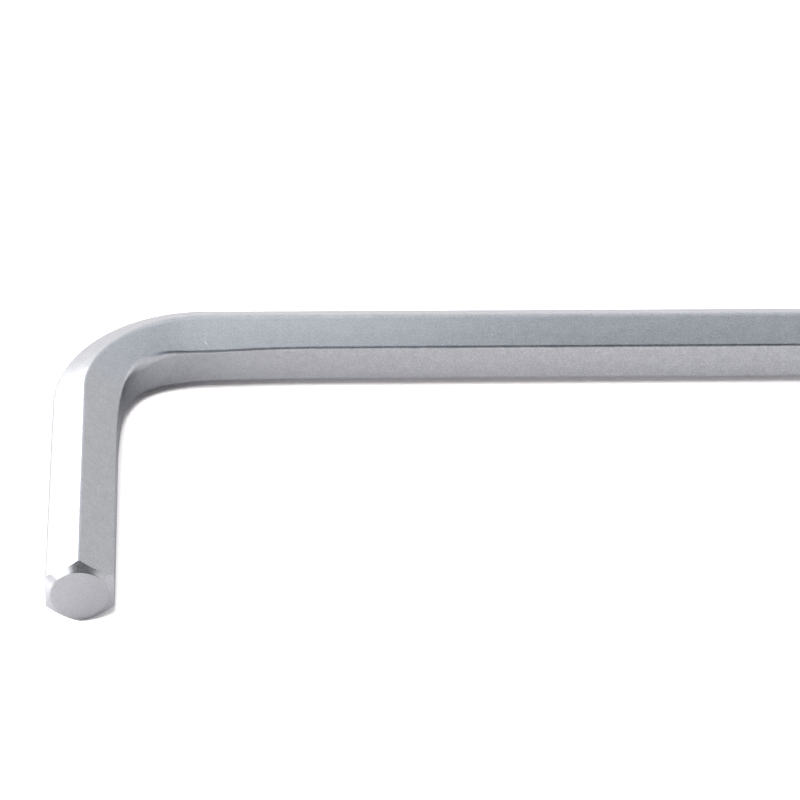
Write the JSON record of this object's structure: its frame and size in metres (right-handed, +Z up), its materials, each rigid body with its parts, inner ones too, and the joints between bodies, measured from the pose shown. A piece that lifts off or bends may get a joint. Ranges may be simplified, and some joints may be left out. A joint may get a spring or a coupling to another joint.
{
  "type": "hex key",
  "caption": "L-shaped key of plain hexagon bar with a rounded right-angle bend, a short arm, a long arm and chamfered ends, for turning hexagon socket screws.",
  "frame": {"origin": "centre of the key's overall outline, on the surface that it lies on", "axes": "+X along the long arm towards its end, -Y along the short arm towards its end, +Z up"},
  "size_m": [0.085, 0.0328, 0.0057],
  "materials": {
    "plated_steel": "satin plated steel with a fine drawn grain"
  },
  "bodies": {
    "root": {"hex_key": "plated_steel"}
  },
  "joints": []
}
